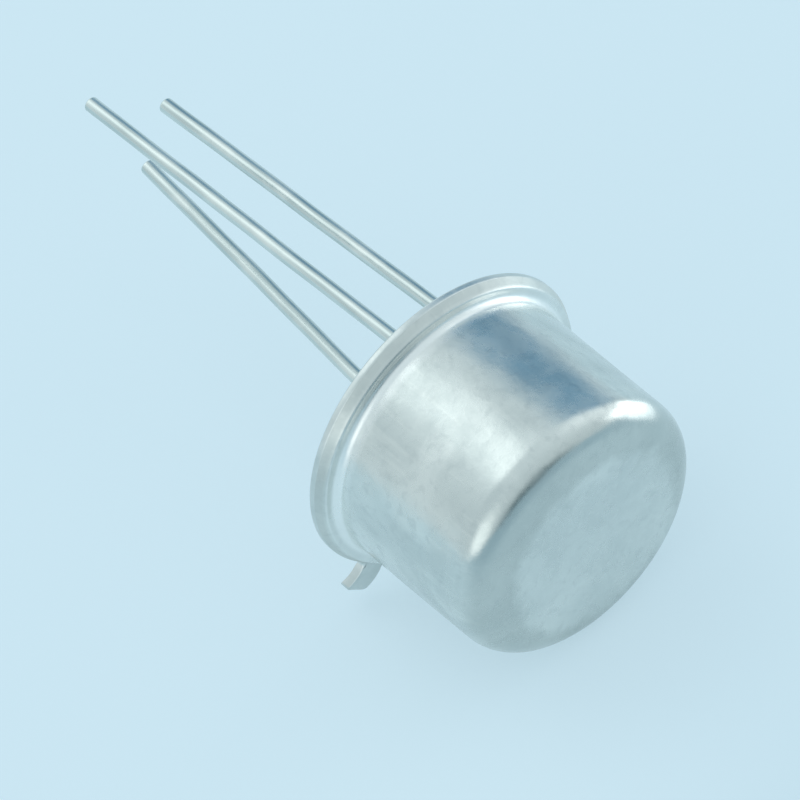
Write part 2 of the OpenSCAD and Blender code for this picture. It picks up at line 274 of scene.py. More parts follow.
# %% Bounce card
def bounce_card(azimuth, distance, width, height, brightness):
    """Upright white card on the floor beside the part, facing it: a soft lamp, sizes in metres."""
    light = bpy.data.lights.new("bounce_card", "AREA")
    light.shape = "RECTANGLE"
    light.size, light.size_y = width, height
    light.energy = brightness * math.pi * width * height
    card = placed("bounce_card", light)
    way = toward(math.radians(azimuth), 0)
    card.location = Vector((0, 0, height / 2)) + way * distance
    card.rotation_mode = "QUATERNION"
    card.rotation_quaternion = way.to_track_quat("Z", "Y")
    card.visible_camera = False
    card.visible_diffuse = False
    return card


card = bounce_card(azimuth=151, distance=0.025, width=0.017, height=0.012, brightness=1.25)
print("bounce card at", [round(v, 3) for v in card.location])

# %% [markdown]
# ## The floor
#
# A plain pale sheet, so wide that its edge never shows. Light comes through it a
# little, as through a light table, so that the shadow under the part stays faint.
# It has a trace of texture, far too weak to notice, so it isn't one dead flat colour.
# Far away on the side that the closed end faces it is painted a little greyer, as painted shade where less
# light falls, and the corner of the can mirrors that part as the dark line round its end.

# %% Finish of the sheet
SHEET_COLOUR = (0.61, 0.807, 0.905)
SHEET_PAPER = (0.78, 0.90, 0.96)
SHEET_GLOW = 0.6
SHEET_FAR_SHADE = (0.72, 0.77, 0.80)
FAR_AZIMUTH = 88
FAR_START, FAR_END = 14, 32
PAPER_CLOUDS = 40
PAPER_TONES = (0.985, 1.015)


def plain_material(name, metallic=0.0):
    """New material with its node tree and its shader, ready for a pattern."""
    material = bpy.data.materials.new(name)
    material.use_nodes = True
    shader = material.node_tree.nodes["Principled BSDF"]
    shader.inputs["Metallic"].default_value = metallic
    return material, material.node_tree, shader


def sheet_material():
    """Matt paper mixed with a plain glow, which the eye and mirror-like surfaces see.

    From FAR_START to FAR_END millimetres towards FAR_AZIMUTH, the colours of both go, by a smooth step,
    to themselves times a greyer far tone: painted shade, where less light falls.
    """
    material, tree, shader = plain_material("floor_sheet")
    place = make_node(tree, "TexCoord", {}).outputs["Object"]
    distance = along_way(tree, place, toward(math.radians(FAR_AZIMUTH), 0))
    # Painted shade: paper and glow are darkened far away on one side.
    far_shade = spread(tree, distance, FAR_START * MM, FAR_END * MM, 0, 1, "SMOOTHSTEP")
    darker, lighter = (tuple(tone * np.array(SHEET_PAPER)) for tone in PAPER_TONES)
    paper = blend(tree, noise(tree, place, PAPER_CLOUDS, 2.0), darker, lighter)
    shaded_far_paper = blend(tree, far_shade, paper, SHEET_FAR_SHADE, "MULTIPLY")
    feed(tree, shader, {"Base Color": shaded_far_paper, "Roughness": 1.0, "Specular IOR Level": 0.0})
    glow = make_node(tree, "Emission", {"Color": blend(tree, far_shade, SHEET_COLOUR, SHEET_FAR_SHADE, "MULTIPLY")})
    path = make_node(tree, "LightPath", {})
    seen = worked_out(tree, "MAXIMUM", path.outputs["Is Camera Ray"], path.outputs["Is Glossy Ray"])
    seen = worked_out(tree, "MAXIMUM", seen, path.outputs["Is Transmission Ray"])
    surfaces = {1: shader.outputs["BSDF"], 2: glow.outputs["Emission"]}
    mix = make_node(tree, "MixShader", {"Fac": times(tree, seen, SHEET_GLOW), **surfaces})
    feed(tree, tree.nodes["Material Output"], {"Surface": mix.outputs["Shader"]})
    return material


floor_sheet = sheet_material()
print("sheet turns greyer from", FAR_START, "to", FAR_END, "mm away")

# %% Floor
def make_floor(half=1.0):
    """Flat square sheet that the part lies on, of that half width in metres."""
    mesh = bpy.data.meshes.new("floor")
    corners = [(-half, -half, 0), (half, -half, 0), (half, half, 0), (-half, half, 0)]
    mesh.from_pydata(corners, [], [(0, 1, 2, 3)])
    mesh.materials.append(floor_sheet)
    floor = placed("floor", mesh)


make_floor()

# %% [markdown]
# ## Surfaces from grids
#
# Most of the part is turned, drawn or stamped, so a few helpers go a long way. A
# half section is a list of points (r, z). Turning it about an axis gives a grid of
# points, one row per section point and one column per angle. Patches are then
# stacked into one mesh and merged where their edges meet. Spin or Screw would turn a
# section too, but the points of a grid can still be waved or bent before they become
# a mesh.

# %% Helpers for sections
def arc(centre, r, start, end, steps):
    """Points of a circular arc in a half section, between two angles in degrees."""
    angle = np.radians(np.linspace(start, end, steps))
    return np.column_stack([centre[0] + r * np.cos(angle), centre[1] + r * np.sin(angle)])


def smooth_step(share):
    """Three squares less two cubes of a share from 0 to 1: flat at both ends."""
    return share ** 2 * (3 - 2 * share)


def eased(start, end, steps):
    """Points from start to end that crowd at both, by half a cosine wave."""
    share = (1 - np.cos(np.linspace(0, math.pi, steps))) / 2
    return np.asarray(start) + np.outer(share, np.subtract(end, start))


def turned(section, angles, centre=(0, 0)):
    """Grid of a half section (r, z) turned about the upright line through centre."""
    r, z = section[:, :1], section[:, 1:]
    x = centre[0] + r * np.cos(angles)
    y = centre[1] + r * np.sin(angles)
    return np.stack([x, y, np.broadcast_to(z, x.shape)], axis=-1)


def whole_turn(steps):
    """Angles evenly spread over a whole turn, without the last one, which is the first."""
    return np.arange(steps) * 2 * math.pi / steps


print("a quarter circle in four points:", arc((0, 0), 1, 0, 90, 4).round(3).tolist())

# %% Helpers for meshes
MERGE_GAP = 0.0002


def woven(grid):
    """Points of a grid, and its quads as corner numbers; the last column joins the first."""
    rows, columns = grid.shape[:2]
    a, b = (part.ravel() for part in np.meshgrid(range(rows - 1), range(columns), indexing="ij"))
    c, d = a + 1, (b + 1) % columns
    quads = np.column_stack([a * columns + b, c * columns + b, c * columns + d, a * columns + d])
    return grid.reshape(-1, 3), quads


def web(outer, holes):
    """Flat sheet between an outer loop of points and the loops of its holes."""
    loops = [outer] + holes
    triangles = tessellate_polygon([[Vector(p) for p in loop] for loop in loops])
    return np.vstack(loops), np.array(triangles)


def make_piece(name, patches, sharp=32):
    """Mesh from patches in can millimetres, welded where they meet, its faces outwards."""
    starts = np.cumsum([0] + [len(points) for points, _ in patches])
    points = to_frame(np.vstack([points for points, _ in patches]))
    faces = [face for (_, part), start in zip(patches, starts) for face in (part + start).tolist()]
    mesh = bpy.data.meshes.new(name)
    mesh.from_pydata(points.tolist(), [], faces)
    work = bmesh.new()
    work.from_mesh(mesh)
    bmesh.ops.remove_doubles(work, verts=work.verts, dist=MERGE_GAP * MM)
    bmesh.ops.recalc_face_normals(work, faces=work.faces)
    if work.calc_volume(signed=True) < 0:
        bmesh.ops.reverse_faces(work, faces=work.faces)
    open_edges = sum(len(edge.link_faces) != 2 for edge in work.edges)
    volume = work.calc_volume() / MM ** 3
    work.to_mesh(mesh)
    work.free()
    mesh.shade_smooth()
    mesh.set_sharp_from_angle(angle=math.radians(sharp))
    piece = placed(name, mesh)
    print(name, "has", len(mesh.polygons), "faces,", open_edges, "open edges,", round(volume, 3), "mm3")
    return piece


print("a grid of 4 rows and 5 columns has", len(woven(np.zeros((4, 5, 3)))[1]), "quads")

# %% [markdown]
# ## Measuring the frame
#
# Every main size is read off the CAD nodes or the mounts, so the smooth surfaces
# follow the frame if a size changes there. A rounded edge shows itself where a flat
# face stops short of the widest radius.

# %% Sizes of the cap
TIGHT = 0.0003


def at_height(points, z):
    """Those corners that lie at one height."""
    return points[abs(points[:, 2] - z) < TIGHT]


cap_corners = in_can("cap")
can_r = mounts["can_wall"]["dims"]["r_mm"]
end_corner_r = can_r - radius(at_height(cap_corners, can_h)).max()
end_corners = cap_corners[radius(cap_corners) < can_r - end_corner_r + TIGHT]
sheet_t = can_h - end_corners[:, 2].min()
flange_t = cap_corners[:, 2].min()
cap_flange_r = radius(cap_corners).max()
wall_corners = cap_corners[abs(radius(cap_corners) - can_r) < TIGHT]
base_fillet_r = wall_corners[:, 2].min() - flange_t - sheet_t
print("corner and sheet", np.round([end_corner_r, sheet_t], 3))
print("flange and fillet", np.round([flange_t, cap_flange_r, base_fillet_r], 3))

# %% Sizes of the header and its tab
header_corners = in_can("header")
away = header_corners[header_corners[:, 0] < 0]
flange_r = radius(away).max()
rim_r = flange_r - radius(at_height(away, 0)).max()
body_h = header_corners[:, 2].max()
body_r = radius(away[away[:, 2] > flange_t + TIGHT]).max()
body_edge_r = body_r - radius(at_height(away, body_h)).max()
groove_mid_r = can_r - sheet_t
near_groove = away[abs(radius(away) - groove_mid_r) < 0.5 * (flange_r - groove_mid_r)]
groove_r = radius(at_height(near_groove, 0)).max() - groove_mid_r
tab_corners = header_corners[header_corners[:, 0] > flange_r + rim_r]
tab_r = tab_corners[:, 0].max()
tab_w = 2 * abs(tab_corners[:, 1]).max()
tab_droop = -tab_corners[:, 2].min()
print("flange, rim, groove", np.round([flange_r, rim_r, groove_r], 3))
print("body", np.round([body_h, body_r, body_edge_r], 3), "tab", np.round([tab_r, tab_w, tab_droop], 3))

# %% Places of the pins
CATHODE, GATE, ANODE = "cathode", "gate", "anode"


def middle(node):
    """Middle of a node's box across the can: (x, y)."""
    corners = in_can(node)
    return (corners.min(axis=0) + corners.max(axis=0))[:2] / 2


pins = {CATHODE: middle("cathode_seal"), GATE: middle("gate_seal"), ANODE: middle("anode_braze")}
lead_r = mounts["cathode_lead_end"]["dims"]["r_mm"]
seal_corners = in_can("cathode_seal")
seal_r = radius(seal_corners - [*pins[CATHODE], 0]).max()
braze_corners = in_can("anode_braze")
braze_r = radius(braze_corners - [*pins[ANODE], 0]).max()
braze_sink = braze_corners[:, 2].max()
braze_leg = -braze_corners[:, 2].min()
print("pins", {name: pin.round(3) for name, pin in pins.items()}, "wire", lead_r)
print("glass and braze", np.round([seal_r, braze_r, braze_sink, braze_leg], 3))

# %% [markdown]
# ## The drawn cap and its corner
#
# A disc of thin nickel sheet is drawn through a die into a deep cup, and its open
# edge is pressed out into a narrow flange. The corner of such a cup is no plain
# quarter circle. The sheet leaves the flat end slowly and then wraps tightly round
# the punch, which pulls the reflections into one thin dark line and one bright one.
# An arc would bend them evenly, so the corner is built from how much the sheet turns
# at each step. It stays within a few hundredths of a millimetre of the frame's.

# %% Corner
END_RELIEF = 0.7
SLOW_TURN = 0.12
SLOW_SHARE, CLIMB_SHARE, STOP_SHARE = 0.35, 0.15, 0.08


def drawn_corner(steps=72):
    """Corner from the flat end round to the wall, turning slowly first and then steadily.

    The turning per step starts at SLOW_TURN of its full value, climbs to it along a
    smooth step, and fades just before the wall. Summing the turning gives the slope,
    summing the slopes gives the curve, and each direction is stretched to its reach.
    """
    way = (np.arange(steps) + 0.5) / steps
    climb = smooth_step(np.clip((way - SLOW_SHARE) / CLIMB_SHARE, 0, 1))
    stop = np.clip((1 - way) / STOP_SHARE, 0, 1)
    turning = (SLOW_TURN + (1 - SLOW_TURN) * climb) * stop
    slope = (np.cumsum(turning) - turning / 2) / turning.sum() * math.pi / 2
    out, down = (np.concatenate([[0], np.cumsum(part)]) for part in (np.cos(slope), np.sin(slope)))
    reach = end_corner_r + END_RELIEF
    return np.column_stack([can_r - reach + reach * out / out[-1], can_h - end_corner_r * down / down[-1]])


outer_corner = drawn_corner()
flat_r = outer_corner[0, 0]
print("end flat to radius", round(flat_r, 3), "wall at", round(outer_corner[-1, 0], 3))

# %% [markdown]
# ## Section of the cap, with its lip and weld
#
# The cap is one half section turned about its axis. One pulse of current welds the
# whole flange to the header, and the melted metal leaves a bead that slopes from the
# rounded lip down to the header's rim. The bead belongs to the cap's own surface
# here, so no seam shows between them.

# %% Section of the cap
LIP_ROUND_R = 0.11


def weld_edge():
    """Round lip of the cap, then the bead of weld that slopes from it down to the header's rim.

    The slope touches the lip's circle and the rim's circle. Were both of one size, it
    would be parallel to the line between their centres. It turns from that by the
    arcsine of the difference of their radii over the distance of their centres.
    """
    rim_centre = np.array([flange_r - rim_r, flange_t - rim_r])
    lip_centre = np.array([cap_flange_r - LIP_ROUND_R, flange_t + sheet_t - LIP_ROUND_R])
    rise = lip_centre - rim_centre
    across_rise = math.degrees(math.atan2(-rise[0], rise[1]))
    face = across_rise + math.degrees(math.asin((LIP_ROUND_R - rim_r) / math.hypot(*rise)))
    lip = arc(lip_centre, LIP_ROUND_R, 90, face, 10)
    foot = arc(rim_centre, rim_r, face, face + 1, 1)[0]
    return np.vstack([lip, eased(lip[-1], foot, 6)[1:], [(rim_centre[0], flange_t)]])


def cap_section():
    """Closed half section: over the end and down the outside, then back up the inside."""
    corner = (can_r - end_corner_r, can_h - end_corner_r)
    foot = (can_r + base_fillet_r, flange_t + sheet_t + base_fillet_r)
    inner_r = end_corner_r - sheet_t
    return np.vstack([
        eased((0, can_h), (flat_r, can_h), 40)[:-1],
        outer_corner,
        eased((can_r, corner[1]), (can_r, foot[1]), 60)[1:-1],
        arc(foot, base_fillet_r, 180, 270, 20),
        weld_edge(),
        arc(foot, base_fillet_r + sheet_t, 270, 180, 20),
        eased((can_r - sheet_t, foot[1]), (can_r - sheet_t, corner[1]), 30)[1:-1],
        arc(corner, inner_r, 0, 90, 20),
        eased((corner[0], can_h - sheet_t), (0, can_h - sheet_t), 16)[1:],
    ])


section = cap_section()
print("section of the cap has", len(section), "points")

# %% [markdown]
# ## Press waves
#
# A drawn wall is never quite true. Slow waves of a few thousandths of a millimetre
# make its reflections swim a little, which is most of what tells metal from plastic.
# A bump pattern would only tilt the light, so the waves go into the surface itself.

# %% Cap
CAP_STEPS = 256
PRESS_WAVES = ((0.0050, 3, 0.8, 0.4), (0.0035, 5, -1.2, 1.9), (0.0016, 9, 2.1, 0))
END_DISH = 0.014
END_RIPPLE = 0.0015


def with_press_waves(grid):
    """Moves the wall in and out by a sum of sines round and along it, and dishes the end.

    Each wave has its height, its count round the can, its turn per millimetre along it
    and its phase. They fade out towards the flange, which is clamped flat for welding.
    The end has a faint ripple, the product of two sines across it.
    """
    x, y, z = np.moveaxis(grid, -1, 0)
    angle, r = np.arctan2(y, x), np.hypot(x, y)
    rise = smooth_step(np.clip(z / can_h, 0, 1))
    wave = sum(height * np.sin(count * angle + along * z + phase)
               for height, count, along, phase in PRESS_WAVES)
    swell = 1 + wave * rise / np.maximum(r, can_r / 2)
    dish = END_DISH * np.clip(1 - (r / flat_r) ** 2, 0, 1) ** 2
    dish += END_RIPPLE * np.sin(1.7 * x + 0.6) * np.sin(1.3 * y - 0.8) * rise
    return np.stack([x * swell, y * swell, z - dish * (z > can_h / 2)], axis=-1)


cap = make_piece("drawn_cap", [woven(with_press_waves(turned(section, whole_turn(CAP_STEPS))))])
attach(cap, "root")
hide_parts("cap")

# %% [markdown]
# ## The header
#
# The header is cold formed from steel: a thick raised body with a thin flange, and
# a tab that shows which lead is which. A coined ring groove in the underside lets
# the flange give a little when the cap is welded to it.
#
# Its surface is one long grid. Every row is a closed loop of the same number of
# points. The loops start round the inside of the groove, go out along the
# underside, round the rim and tab, back over the top, and up the raised body. Two
# flat webs and the walls of the holes close it. A tab joined on with a Boolean would
# be quicker, but it would leave no even round along the edge.

# %% Outline of the flange and tab
TAB_CORNER_R = 0.12
TAB_ROOT_R = 0.15
TAB_EDGE_R = 0.035
TAB_FLAT = 0.15


def flange_outline():
    """Loop of points seen along the can, anticlockwise from the middle of the tab's end.

    The root arcs touch both the side of the tab and the round flange, so their
    centre lies one root radius outside each.
    """
    half = tab_w / 2
    corner = (tab_r - TAB_CORNER_R, half - TAB_CORNER_R)
    root_y = half + TAB_ROOT_R
    root_x = math.sqrt((flange_r + TAB_ROOT_R) ** 2 - root_y ** 2)
    start = math.degrees(math.atan2(root_y, root_x))
    upper = np.vstack([
        np.linspace((tab_r, 0), (tab_r, corner[1]), 6)[:-1],
        arc(corner, TAB_CORNER_R, 0, 90, 10),
        np.linspace((corner[0], half), (root_x, half), 18)[1:-1],
        arc((root_x, root_y), TAB_ROOT_R, 270, 180 + start, 12),
        arc((0, 0), flange_r, start, 180, 200)[1:],
    ])
    lower = upper[-2:0:-1] * [1, -1]
    return np.vstack([upper, lower]), np.radians(start)


outline, root_angle = flange_outline()
print("outline has", len(outline), "points; the tab takes", round(math.degrees(root_angle) * 2, 1), "degrees")

# %% Angles and edges of the loops
def loop_angles():
    """Angle of each loop point on the round parts of the header.

    Round the flange it is the point's own. The many points of the tab share out the
    narrow angle at its root.
    """
    own = np.unwrap(np.arctan2(outline[:, 1], outline[:, 0]))
    half = len(outline) // 2 + 1
    on_tab = int(np.argmax(own[:half] > root_angle + 1e-9))
    order = np.arange(len(outline))
    turned_back = len(outline) - order
    shared = np.where(order < on_tab, order, -turned_back) * root_angle / (on_tab - 1)
    tab_points = (order < on_tab) | (turned_back < on_tab)
    return np.where(tab_points, shared, own)


def inward():
    """Unit vectors square to the outline, towards its inside."""
    along = np.roll(outline, -1, axis=0) - np.roll(outline, 1, axis=0)
    along /= np.linalg.norm(along, axis=1, keepdims=True)
    return np.column_stack([-along[:, 1], along[:, 0]])


header_angles = loop_angles()
header_inward = inward()
# The rounding of the edge shrinks across the root of the tab, over two root radii,
# a fifth of which lies inside the flange's circle.
past_root = np.clip((outline[:, 0] - flange_r) / (2 * TAB_ROOT_R) + 0.2, 0, 1)
edge_r = rim_r + (TAB_EDGE_R - rim_r) * smooth_step(past_root)
print("edge rounds from", round(edge_r.max(), 3), "on the flange to", round(edge_r.min(), 3), "on the tab")

# %% Two kinds of loop
def ring(r, z):
    """Round loop of the header at radius r and height z."""
    return np.column_stack([r * np.cos(header_angles), r * np.sin(header_angles), np.full(len(outline), z)])


def rim(angle):
    """Outline drawn in by the edge radius, as far round the edge as the angle says.

    At -90 degrees it is the edge of the underside and at +90 the edge of the top.
    """
    turn = math.radians(angle)
    flat = outline + header_inward * (edge_r * (1 - math.cos(turn)))[:, None]
    low, high = edge_r * (1 + math.sin(turn)), flange_t - edge_r * (1 - math.sin(turn))
    return np.column_stack([flat, low if angle < 0 else high])


print("rim reaches", round(rim(0)[:, 0].max(), 3), "on the tab and", round(-rim(0)[:, 0].min(), 3), "across")

# %% Loops of the header
BODY_ROOT_R = 0.06


def bent_down(points):
    """Bends the tab: beyond its flat part a point at height z turns on an arc of radius R + z."""
    bend_x = flange_r + TAB_FLAT
    reach = tab_r - bend_x
    bend_r = (reach ** 2 + tab_droop ** 2) / (2 * tab_droop)
    along = np.clip(points[..., 0] - bend_x, 0, None)
    bent = points.copy()
    on_tab = along > 0
    bent[..., 2][on_tab] = np.sqrt((bend_r + points[..., 2][on_tab]) ** 2 - along[on_tab] ** 2) - bend_r
    return bent


def header_loops():
    """All the loops of the header, from inside the groove round to the top of its body."""
    groove = arc((groove_mid_r, 0), groove_r, 180, 0, 14)
    root = arc((body_r + BODY_ROOT_R, flange_t + BODY_ROOT_R), BODY_ROOT_R, 270, 180, 6)
    top = arc((body_r - body_edge_r, body_h - body_edge_r), body_edge_r, 0, 90, 10)
    under = [ring(r, z) for r, z in groove]
    over = [ring(r, z) for r, z in np.vstack([root, top])]
    edges = [rim(a) for a in np.linspace(-90, 0, 9)] + [rim(a) for a in np.linspace(0, 90, 9)]
    shares = (1 - np.cos(np.linspace(0, math.pi, 18)))[1:-1, None, None] / 2
    underside = list(under[-1] + shares * (edges[0] - under[-1]))
    topside = list(edges[-1] + shares * (over[0] - edges[-1]))
    return bent_down(np.stack(under + underside + edges + topside + over))


loops = header_loops()
print("loops:", loops.shape[0], "of", loops.shape[1], "points")

# %% Header
HOLE_EDGE_R = 0.03
HOLE_STEPS = 96
SOCKET_H = 0.6
FIT_GAP = 0.01


def hole_wall(r):
    """Half section of a hole through the body, with a small round at each mouth."""
    lip = r + HOLE_EDGE_R
    return np.vstack([arc((lip, HOLE_EDGE_R), HOLE_EDGE_R, 270, 180, 5),
                      arc((lip, body_h - HOLE_EDGE_R), HOLE_EDGE_R, 180, 90, 5)])


def socket_wall():
    """Half section of the blind socket of the anode lead, with its shallow spot face."""
    spot_r, socket_r = braze_r + FIT_GAP, lead_r + FIT_GAP
    return np.vstack([arc((spot_r + HOLE_EDGE_R, HOLE_EDGE_R), HOLE_EDGE_R, 270, 180, 5),
                      [(spot_r, braze_sink), (socket_r, braze_sink), (socket_r, SOCKET_H), (0, SOCKET_H)]])


holes = [turned(hole_wall(seal_r + FIT_GAP), whole_turn(HOLE_STEPS), pins[name]) for name in (CATHODE, GATE)]
socket = turned(socket_wall(), whole_turn(HOLE_STEPS), pins[ANODE])
header = make_piece("stamped_header", [
    woven(loops),
    *[woven(hole) for hole in holes],
    woven(socket),
    web(loops[0], [hole[0] for hole in holes] + [socket[0]]),
    web(loops[-1], [hole[-1] for hole in holes]),
])
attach(header, "root")
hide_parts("header")

# %% [markdown]
# ## Glass seals
#
# The cathode and gate leads pass through the header in beads of glass. The glass
# melts and wets both the wire and the steel, so each face of the bead is hollow,
# like water in a narrow tube. A parabola from the wire to the wall comes close.

# %% Seals
HOLLOW = 0.08
GLASS_FACE = seal_corners[:, 2].min()


def seal_section():
    """Closed half section of a bead: hollow below, up the outside, hollow on top, down the wire."""
    mid, half = (seal_r + lead_r) / 2, (seal_r - lead_r) / 2
    r = np.linspace(lead_r, seal_r, 24)
    sag = HOLLOW * (1 - ((r - mid) / half) ** 2)
    below = np.column_stack([r, GLASS_FACE + sag])
    above = np.column_stack([r, body_h - GLASS_FACE - sag])[::-1]
    return np.vstack([below, above, below[:1]])


def make_bead(name):
    """Glass bead of one pin."""
    bead = make_piece(name + "_glass", [woven(turned(seal_section(), whole_turn(HOLE_STEPS), pins[name]))])
    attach(bead, "root")
    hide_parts(name + "_seal")
    return bead


beads = [make_bead(name) for name in (CATHODE, GATE)]

# %% [markdown]
# ## Leads
#
# Each lead is one round wire. It runs straight through the header, and below it a
# slight bend from handling turns it away from the axis. A circle is carried along
# the wire's middle line: straight, then an arc, then straight. The way each wire
# leans is the axis of the mount at its far end. A curve with a bevel would be quicker,
# but a grid also rounds the cut ends and lets the wire waver.

# %% Line and radius of a lead
LEAD_STUB = 0.4
LEAD_BEND_R = 6.0
LEAD_STEPS = 180
CUT_EDGE_R = 0.06
CUT_MARGIN = 0.1


def lead_line(along, knee, way, lean):
    """Middle line of a lead at distances along it: its points, and its angle to the can's axis.

    Distance 0 is where the bend starts. The bend is an arc of radius LEAD_BEND_R, and
    the lead runs on along the tangent where the arc ends.
    """
    angle = np.clip(along / LEAD_BEND_R, 0, lean)
    run_on = np.maximum(along - LEAD_BEND_R * lean, 0)
    out = LEAD_BEND_R * (1 - np.cos(angle)) + run_on * np.sin(angle)
    down = np.minimum(along, 0) + LEAD_BEND_R * np.sin(angle) + run_on * np.cos(angle)
    return knee + np.outer(out, way) - np.outer(down, (0, 0, 1)), angle


def lead_radii(length_up, length_down):
    """Distances along a lead and the wire's radius there, with both cut ends rounded over."""
    edge = np.radians(np.linspace(90, 0, 7))
    blunt = lead_r - CUT_EDGE_R
    inset, rounded = CUT_EDGE_R * (1 - np.sin(edge)), blunt + CUT_EDGE_R * np.cos(edge)
    top = [(-length_up, r) for r in (0, 0.5 * blunt)] + list(zip(inset - length_up, rounded))
    tip = list(zip(length_down - inset, rounded))[::-1] + [(length_down, r) for r in (0.5 * blunt, 0)]
    between = np.linspace(-length_up + CUT_MARGIN, length_down - CUT_MARGIN, LEAD_STEPS)
    return np.array(top + [(s, lead_r) for s in between] + tip).T


print("wire of radius", lead_r, "with a bend of radius", LEAD_BEND_R)

# %% Course of each lead
def lead_course(name):
    """Knee of a lead, the way and the angle it leans, and its lengths above and below the knee."""
    ahead = AXES @ np.array(mounts[name + "_lead_end"]["axis"])
    ahead /= np.linalg.norm(ahead)
    lean = math.acos(-ahead[2])
    way = np.array([ahead[0], ahead[1], 0]) / math.sin(lean)
    knee = np.array([*pins[name], -LEAD_STUB])
    corners = in_can(name + "_lead")
    bend_end = lead_line(np.array([LEAD_BEND_R * lean]), knee, way, lean)[0][0]
    length_down = LEAD_BEND_R * lean + ((corners - bend_end) @ ahead).max()
    print(name, "leans", round(math.degrees(lean), 2), "degrees, length", round(length_down + LEAD_STUB, 2))
    return knee, way, lean, corners[:, 2].max() + LEAD_STUB, length_down


courses = {name: lead_course(name) for name in pins}

# %% Leads
LEAD_ROUND = 32
WAVE_START, WAVE_FULL = 1, 5
WIRE_WAVES = ((0.005, 0.9, 1), (0.003, 2.3, 2))


def handling_waves(along, phase):
    """Sideways waves of the free wire: a sum of sines that grows from WAVE_START to WAVE_FULL.

    Each has its height, its turn per millimetre, and how many times the phase counts.
    """
    free = np.clip((along - WAVE_START) / (WAVE_FULL - WAVE_START), 0, 1)
    return free * sum(height * np.sin(turn * along + count * phase) for height, turn, count in WIRE_WAVES)


def lead_grid(knee, way, lean, length_up, length_down, phase):
    """Grid of a lead: rings of points square to its middle line, which waves both ways."""
    along, wire_r = lead_radii(length_up, length_down)
    points, angle = lead_line(along, knee, way, lean)
    outward = np.outer(np.cos(angle), way) + np.outer(np.sin(angle), (0, 0, 1))
    side = np.cross(way, (0, 0, -1))
    points = points + outward * handling_waves(along, phase)[:, None]
    points = points + side * handling_waves(along, phase + 2)[:, None]
    turn = whole_turn(LEAD_ROUND)[None, :, None]
    spoke = np.cos(turn) * outward[:, None, :] + np.sin(turn) * side
    return points[:, None, :] + wire_r[:, None, None] * spoke


def make_lead(name, phase):
    """Wire lead of one pin, with its free end on the line of its mount."""
    lead = make_piece(name + "_lead_wire", [woven(lead_grid(*courses[name], phase))], sharp=50)
    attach(lead, "root")
    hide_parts(name + "_lead")
    return lead


leads = [make_lead(name, phase) for name, phase in ((CATHODE, 0.3), (GATE, 1.7), (ANODE, 4.1))]

# %% [markdown]
# ## Braze round the anode lead
#
# The anode is the can itself, so its lead stands in a blind socket of the header,
# brazed all round. Melted brass fills the spot face and climbs the wire in a
# hollow fillet. It is turned like the seals, and its foot is then drawn in and out
# a little, as a melted edge is.

# %% Braze
HOLLOW_SHARE = 0.97
MELT_IN = 0.03
MELT_WAVES = ((0.02, 3, 1), (0.012, 7, 0))


def braze_section():
    """Closed half section: the hollow fillet up the wire, and the plug in the spot face.

    The hollow's arc is a little smaller than the fillet's leg, so its edges aren't sharp.
    """
    centre = (braze_r, -braze_leg)
    fillet = arc(centre, braze_leg * HOLLOW_SHARE, 180, 90, 18)
    return np.vstack([fillet, [(braze_r, 0.0), (braze_r, braze_sink), (lead_r, braze_sink), fillet[0]]])


def with_melted_edge(grid, centre):
    """Draws the fillet in by a share plus a sum of sines round the wire, most at its foot.

    Each sine has its height, its count round the wire and its phase.
    """
    flat = grid[..., :2] - centre
    r = np.linalg.norm(flat, axis=-1)
    angle = np.arctan2(flat[..., 1], flat[..., 0])
    foot = np.clip((r - lead_r) / (braze_r - lead_r), 0, 1) * (grid[..., 2] < -TIGHT)
    wave = sum(height * np.sin(count * angle + phase) for height, count, phase in MELT_WAVES)
    swell = 1 - foot * (MELT_IN + wave)
    melted = grid.copy()
    melted[..., :2] = centre + flat * swell[..., None]
    return melted


braze_grid = turned(braze_section(), whole_turn(HOLE_STEPS), pins[ANODE])
braze = make_piece("braze_fillet", [woven(with_melted_edge(braze_grid, pins[ANODE]))])
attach(braze, "root")
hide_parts("anode_braze")

# %% [markdown]
# ## Patterns for the finishes
#
# Every finish is built from a few procedural patterns on the can's own axes in
# millimetres, so that a pattern keeps its real size and stays on its piece.
# A plated surface is never one even tone: the plating varies in thickness, and
# fingers and trays leave faint dull patches.

# %% Helpers for patterns
def axes_of_can(tree, squeeze=(1, 1, 1)):
    """Object coordinates turned to the can's axes, in millimetres, then squeezed along each axis."""
    place = make_node(tree, "TexCoord", {}).outputs["Object"]
    moves = {"Scale": (1 / MM,) * 3, "Rotation": turned_by, "Location": (-AXES @ seat / MM).tolist()}
    turn = make_node(tree, "Mapping", {"Vector": place, **moves})
    stretch = make_node(tree, "Mapping", {"Vector": turn.outputs["Vector"], "Scale": squeeze})
    return stretch.outputs["Vector"]


def by_height(tree, vector, low, high, below=0, above=1):
    """One value below a height along the can, another above a second height, and a ramp between."""
    parts = make_node(tree, "SeparateXYZ", {"Vector": vector})
    return spread(tree, parts.outputs["Z"], low, high, below, above)


def across(tree, vector, centre):
    """Distance from the line along the can through a centre (x, y)."""
    flat = {0: vector, 1: (1, 1, 0), 2: (-centre[0], -centre[1], 0)}
    flattened = make_node(tree, "VectorMath", flat, operation="MULTIPLY_ADD").outputs["Vector"]
    return make_node(tree, "VectorMath", {0: flattened}, operation="LENGTH").outputs["Value"]


def wire_up(tree, shader, tone, gloss, height=None, depth_mm=0):
    """Gives the shader its colour and roughness, and the light the tilt of bumps of that depth."""
    feed(tree, shader, {"Base Color": tone, "Roughness": gloss})
    if height is not None:
        bump = make_node(tree, "Bump", {"Height": height, "Strength": 1.0, "Distance": depth_mm * MM})
        feed(tree, shader, {"Normal": bump.outputs["Normal"]})


def dress(objects, material):
    """Gives one material to several pieces or CAD nodes."""
    for thing in objects:
        thing.data.materials.clear()
        thing.data.materials.append(material)
    print(material.name, "on", [thing.name for thing in objects])


turned_by = Matrix(AXES.tolist()).to_euler()
print("patterns turned by", np.degrees(turned_by).round(1), "degrees")
